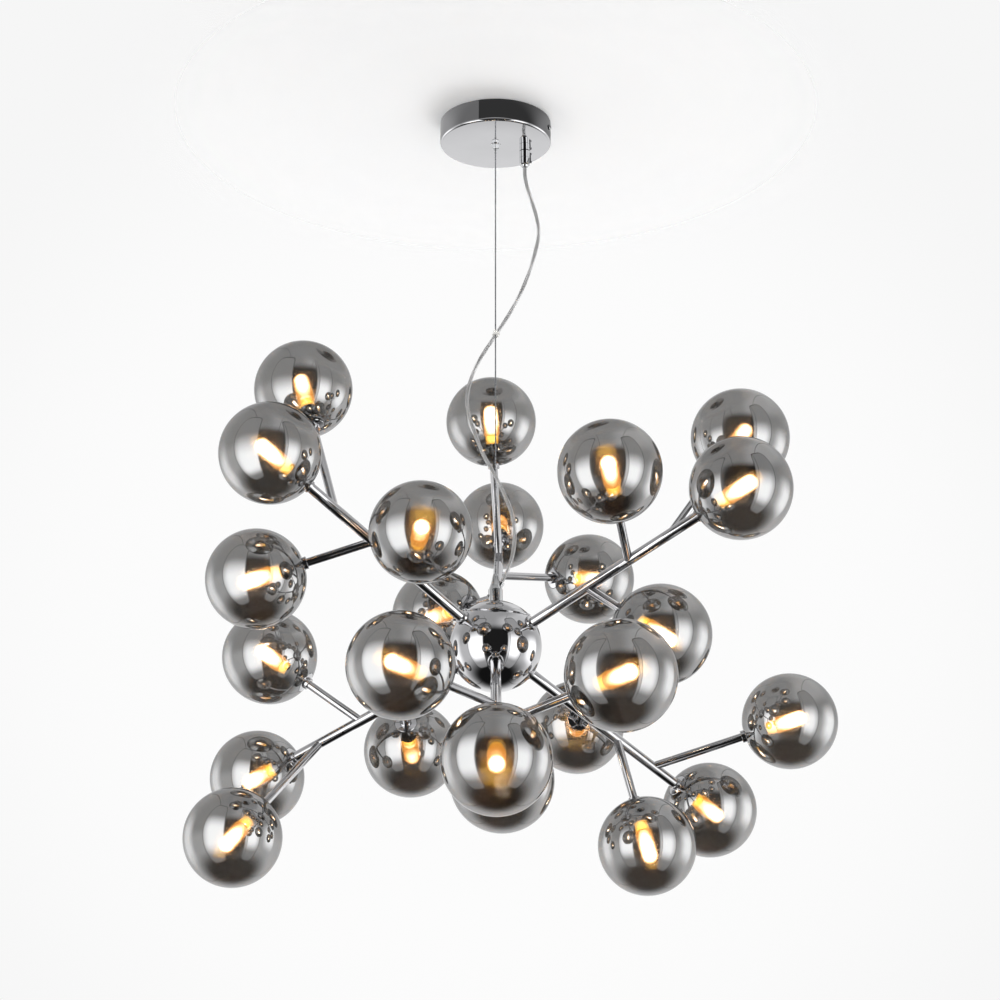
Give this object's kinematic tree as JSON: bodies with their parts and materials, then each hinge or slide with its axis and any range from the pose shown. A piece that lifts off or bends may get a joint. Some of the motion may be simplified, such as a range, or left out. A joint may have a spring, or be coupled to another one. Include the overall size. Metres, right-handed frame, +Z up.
{
  "type": "pendant light",
  "caption": "Ceiling pendant light: a ball hub on a steel wire carries branching chrome arms that end in smoked mirror-glass globes, each with a glowing lamp inside.",
  "frame": {"origin": "on the ceiling plane, on the top face of the ceiling bracket, over the middle of the hub", "axes": "+Z up into the ceiling; the hub hangs straight below along -Z; -Y towards the viewer of the picture, +X to the viewer's right"},
  "size_m": [0.67, 0.6307, 0.8256],
  "materials": {
    "canopy_chrome": "polished",
    "hub_chrome": "polished",
    "arm_chrome": "polished",
    "fitting_chrome": "polished",
    "zinc_plated_steel": "zinc plated",
    "bright_steel": "turned",
    "steel_wire": "stranded",
    "clear_cord": "clear sheath over bright twisted cores",
    "clear_plastic": "moulded",
    "white_plastic": "moulded",
    "smoked_mirror_glass": "blown glass with a half-silvered smoke coating",
    "lamp": "frosted capsule lamp in its lampholder"
  },
  "bodies": {
    "canopy_and_hub": {"ceiling_bracket": "zinc_plated_steel", "ceiling_terminal_block": "white_plastic", "canopy_cover": "canopy_chrome", "canopy_screw_left": "fitting_chrome", "canopy_screw_right": "fitting_chrome", "wire_gripper": "fitting_chrome", "wire_gripper_nut": "zinc_plated_steel", "canopy_cord_grip": "fitting_chrome", "cord_grip_nut": "zinc_plated_steel", "suspension_wire": "steel_wire", "power_cord": "clear_cord", "cord_clip": "clear_plastic", "hub_bowl": "hub_chrome", "hub_lid": "hub_chrome", "hub_gland": "fitting_chrome", "hub_gland_nut": "zinc_plated_steel", "hub_connector_block": "white_plastic"},
    "gripper_release": {"gripper_release_nipple": "bright_steel"},
    "upper_left_arm": {"upper_left_arm": "arm_chrome", "upper_left_lamps": "lamp", "upper_left_arm_nut": "zinc_plated_steel"},
    "upper_left_globe_1": {"upper_left_globe_1": "smoked_mirror_glass"},
    "upper_left_globe_2": {"upper_left_globe_2": "smoked_mirror_glass"},
    "upper_left_globe_3": {"upper_left_globe_3": "smoked_mirror_glass"},
    "upper_left_globe_4": {"upper_left_globe_4": "smoked_mirror_glass"},
    "upper_right_arm": {"upper_right_arm": "arm_chrome", "upper_right_lamps": "lamp", "upper_right_arm_nut": "zinc_plated_steel"},
    "upper_right_globe_1": {"upper_right_globe_1": "smoked_mirror_glass"},
    "upper_right_globe_2": {"upper_right_globe_2": "smoked_mirror_glass"},
    "upper_right_globe_3": {"upper_right_globe_3": "smoked_mirror_glass"},
    "upper_right_globe_4": {"upper_right_globe_4": "smoked_mirror_glass"},
    "upper_back_arm": {"upper_back_arm": "arm_chrome", "upper_back_lamps": "lamp", "upper_back_arm_nut": "zinc_plated_steel"},
    "upper_back_globe_1": {"upper_back_globe_1": "smoked_mirror_glass"},
    "upper_back_globe_2": {"upper_back_globe_2": "smoked_mirror_glass"},
    "upper_back_globe_3": {"upper_back_globe_3": "smoked_mirror_glass"},
    "upper_back_globe_4": {"upper_back_globe_4": "smoked_mirror_glass"},
    "lower_front_arm": {"lower_front_arm": "arm_chrome", "lower_front_lamps": "lamp", "lower_front_arm_nut": "zinc_plated_steel"},
    "lower_front_globe_1": {"lower_front_globe_1": "smoked_mirror_glass"},
    "lower_front_globe_2": {"lower_front_globe_2": "smoked_mirror_glass"},
    "lower_front_globe_3": {"lower_front_globe_3": "smoked_mirror_glass"},
    "lower_front_globe_4": {"lower_front_globe_4": "smoked_mirror_glass"},
    "lower_back_left_arm": {"lower_back_left_arm": "arm_chrome", "lower_back_left_lamps": "lamp", "lower_back_left_arm_nut": "zinc_plated_steel"},
    "lower_back_left_globe_1": {"lower_back_left_globe_1": "smoked_mirror_glass"},
    "lower_back_left_globe_2": {"lower_back_left_globe_2": "smoked_mirror_glass"},
    "lower_back_left_globe_3": {"lower_back_left_globe_3": "smoked_mirror_glass"},
    "lower_back_left_globe_4": {"lower_back_left_globe_4": "smoked_mirror_glass"},
    "lower_back_right_arm": {"lower_back_right_arm": "arm_chrome", "lower_back_right_lamps": "lamp", "lower_back_right_arm_nut": "zinc_plated_steel"},
    "lower_back_right_globe_1": {"lower_back_right_globe_1": "smoked_mirror_glass"},
    "lower_back_right_globe_2": {"lower_back_right_globe_2": "smoked_mirror_glass"},
    "lower_back_right_globe_3": {"lower_back_right_globe_3": "smoked_mirror_glass"},
    "lower_back_right_globe_4": {"lower_back_right_globe_4": "smoked_mirror_glass"}
  },
  "joints": [
    {"name": "gripper_release_push", "type": "slide", "parent": "canopy_and_hub", "child": "gripper_release", "axis": [0, 0, 1], "range_m": [0, 0.002], "stiffness_N_per_m": 800, "springref_m": -0.001},
    {"name": "upper_left_arm_turn", "type": "hinge", "parent": "canopy_and_hub", "child": "upper_left_arm", "pos_m": [0, 0, -0.5825], "axis": [-0.7048, -0.4972, 0.506], "range_deg": [-30, 30]},
    {"name": "upper_left_globe_1_unscrew", "type": "hinge", "parent": "upper_left_arm", "child": "upper_left_globe_1", "pos_m": [-0.07186, -0.14744, -0.50379], "axis": [0.1317, -0.9702, 0.2034], "range_deg": [0, 360]},
    {"name": "upper_left_globe_2_unscrew", "type": "hinge", "parent": "upper_left_arm", "child": "upper_left_globe_2", "pos_m": [-0.23598, -0.0794, -0.53254], "axis": [-0.9513, 0.0485, -0.3043], "range_deg": [0, 360]},
    {"name": "upper_left_globe_3_unscrew", "type": "hinge", "parent": "upper_left_arm", "child": "upper_left_globe_3", "pos_m": [-0.19547, -0.06612, -0.33006], "axis": [-0.2488, 0.2997, 0.921], "range_deg": [0, 360]},
    {"name": "upper_left_globe_4_unscrew", "type": "hinge", "parent": "upper_left_arm", "child": "upper_left_globe_4", "pos_m": [-0.21778, -0.15363, -0.42614], "axis": [-0.7048, -0.4972, 0.506], "range_deg": [0, 360]},
    {"name": "upper_right_arm_turn", "type": "hinge", "parent": "canopy_and_hub", "child": "upper_right_arm", "pos_m": [0, 0, -0.5825], "axis": [0.7618, -0.5216, 0.3843], "range_deg": [-30, 30]},
    {"name": "upper_right_globe_1_unscrew", "type": "hinge", "parent": "upper_right_arm", "child": "upper_right_globe_1", "pos_m": [0.16161, -0.08323, -0.58964], "axis": [0.7801, -0.2328, -0.5808], "range_deg": [0, 360]},
    {"name": "upper_right_globe_2_unscrew", "type": "hinge", "parent": "upper_right_arm", "child": "upper_right_globe_2", "pos_m": [0.10829, -0.19215, -0.45665], "axis": [-0.1847, -0.8488, 0.4954], "range_deg": [0, 360]},
    {"name": "upper_right_globe_3_unscrew", "type": "hinge", "parent": "upper_right_arm", "child": "upper_right_globe_3", "pos_m": [0.24803, -0.06039, -0.37968], "axis": [0.5124, 0.3739, 0.7731], "range_deg": [0, 360]},
    {"name": "upper_right_globe_4_unscrew", "type": "hinge", "parent": "upper_right_arm", "child": "upper_right_globe_4", "pos_m": [0.23538, -0.16117, -0.46375], "axis": [0.7618, -0.5216, 0.3843], "range_deg": [0, 360]},
    {"name": "upper_back_arm_turn", "type": "hinge", "parent": "canopy_and_hub", "child": "upper_back_arm", "pos_m": [0, 0, -0.5825], "axis": [0.0162, 0.7748, 0.632], "range_deg": [-30, 30]},
    {"name": "upper_back_globe_1_unscrew", "type": "hinge", "parent": "upper_back_arm", "child": "upper_back_globe_1", "pos_m": [-0.0628, 0.1559, -0.51287], "axis": [-0.7113, 0.7003, -0.061], "range_deg": [0, 360]},
    {"name": "upper_back_globe_2_unscrew", "type": "hinge", "parent": "upper_back_arm", "child": "upper_back_globe_2", "pos_m": [0.10459, 0.19694, -0.46099], "axis": [0.8413, 0.5295, 0.1084], "range_deg": [0, 360]},
    {"name": "upper_back_globe_3_unscrew", "type": "hinge", "parent": "upper_back_arm", "child": "upper_back_globe_3", "pos_m": [-0.00492, 0.14846, -0.29226], "axis": [-0.0566, -0.1663, 0.9844], "range_deg": [0, 360]},
    {"name": "upper_back_globe_4_unscrew", "type": "hinge", "parent": "upper_back_arm", "child": "upper_back_globe_4", "pos_m": [0.00502, 0.23941, -0.3872], "axis": [0.0162, 0.7748, 0.632], "range_deg": [0, 360]},
    {"name": "lower_front_arm_turn", "type": "hinge", "parent": "canopy_and_hub", "child": "lower_front_arm", "pos_m": [0, 0, -0.5825], "axis": [0.003, -0.8535, -0.521], "range_deg": [-30, 30]},
    {"name": "lower_front_globe_1_unscrew", "type": "hinge", "parent": "lower_front_arm", "child": "lower_front_globe_1", "pos_m": [0.00628, -0.09862, -0.73524], "axis": [0.0651, 0.0321, -0.9974], "range_deg": [0, 360]},
    {"name": "lower_front_globe_2_unscrew", "type": "hinge", "parent": "lower_front_arm", "child": "lower_front_globe_2", "pos_m": [-0.08578, -0.22877, -0.65172], "axis": [-0.7132, -0.6809, 0.1664], "range_deg": [0, 360]},
    {"name": "lower_front_globe_3_unscrew", "type": "hinge", "parent": "lower_front_arm", "child": "lower_front_globe_3", "pos_m": [0.10959, -0.29289, -0.67475], "axis": [0.7214, -0.6733, 0.1621], "range_deg": [0, 360]},
    {"name": "lower_front_globe_4_unscrew", "type": "hinge", "parent": "lower_front_arm", "child": "lower_front_globe_4", "pos_m": [0.00092, -0.26375, -0.74349], "axis": [0.003, -0.8535, -0.521], "range_deg": [0, 360]},
    {"name": "lower_back_left_arm_turn", "type": "hinge", "parent": "canopy_and_hub", "child": "lower_back_left_arm", "pos_m": [0, 0, -0.5825], "axis": [-0.8176, 0.4495, -0.36], "range_deg": [-30, 30]},
    {"name": "lower_back_left_globe_1_unscrew", "type": "hinge", "parent": "lower_back_left_arm", "child": "lower_back_left_globe_1", "pos_m": [-0.0898, 0.13513, -0.66478], "axis": [0.0819, 0.8974, -0.4336], "range_deg": [0, 360]},
    {"name": "lower_back_left_globe_2_unscrew", "type": "hinge", "parent": "lower_back_left_arm", "child": "lower_back_left_globe_2", "pos_m": [-0.23787, 0.08848, -0.57372], "axis": [-0.8071, 0.0943, 0.5828], "range_deg": [0, 360]},
    {"name": "lower_back_left_globe_3_unscrew", "type": "hinge", "parent": "lower_back_left_arm", "child": "lower_back_left_globe_3", "pos_m": [-0.26376, 0.03285, -0.77132], "axis": [-0.5338, -0.4492, -0.7164], "range_deg": [0, 360]},
    {"name": "lower_back_left_globe_4_unscrew", "type": "hinge", "parent": "lower_back_left_arm", "child": "lower_back_left_globe_4", "pos_m": [-0.25262, 0.13888, -0.69374], "axis": [-0.8176, 0.4495, -0.36], "range_deg": [0, 360]},
    {"name": "lower_back_right_arm_turn", "type": "hinge", "parent": "canopy_and_hub", "child": "lower_back_right_arm", "pos_m": [0, 0, -0.5825], "axis": [0.7356, 0.4943, -0.4633], "range_deg": [-30, 30]},
    {"name": "lower_back_right_globe_1_unscrew", "type": "hinge", "parent": "lower_back_right_arm", "child": "lower_back_right_globe_1", "pos_m": [0.08757, 0.1498, -0.63715], "axis": [0.0007, 1, 0.0051], "range_deg": [0, 360]},
    {"name": "lower_back_right_globe_2_unscrew", "type": "hinge", "parent": "lower_back_right_arm", "child": "lower_back_right_globe_2", "pos_m": [0.1537, 0.05699, -0.77645], "axis": [0.2277, -0.2296, -0.9463], "range_deg": [0, 360]},
    {"name": "lower_back_right_globe_3_unscrew", "type": "hinge", "parent": "lower_back_right_arm", "child": "lower_back_right_globe_3", "pos_m": [0.30768, 0.08983, -0.6422], "axis": [0.9464, -0.1384, 0.292], "range_deg": [0, 360]},
    {"name": "lower_back_right_globe_4_unscrew", "type": "hinge", "parent": "lower_back_right_arm", "child": "lower_back_right_globe_4", "pos_m": [0.22729, 0.15273, -0.72566], "axis": [0.7356, 0.4943, -0.4633], "range_deg": [0, 360]}
  ]
}
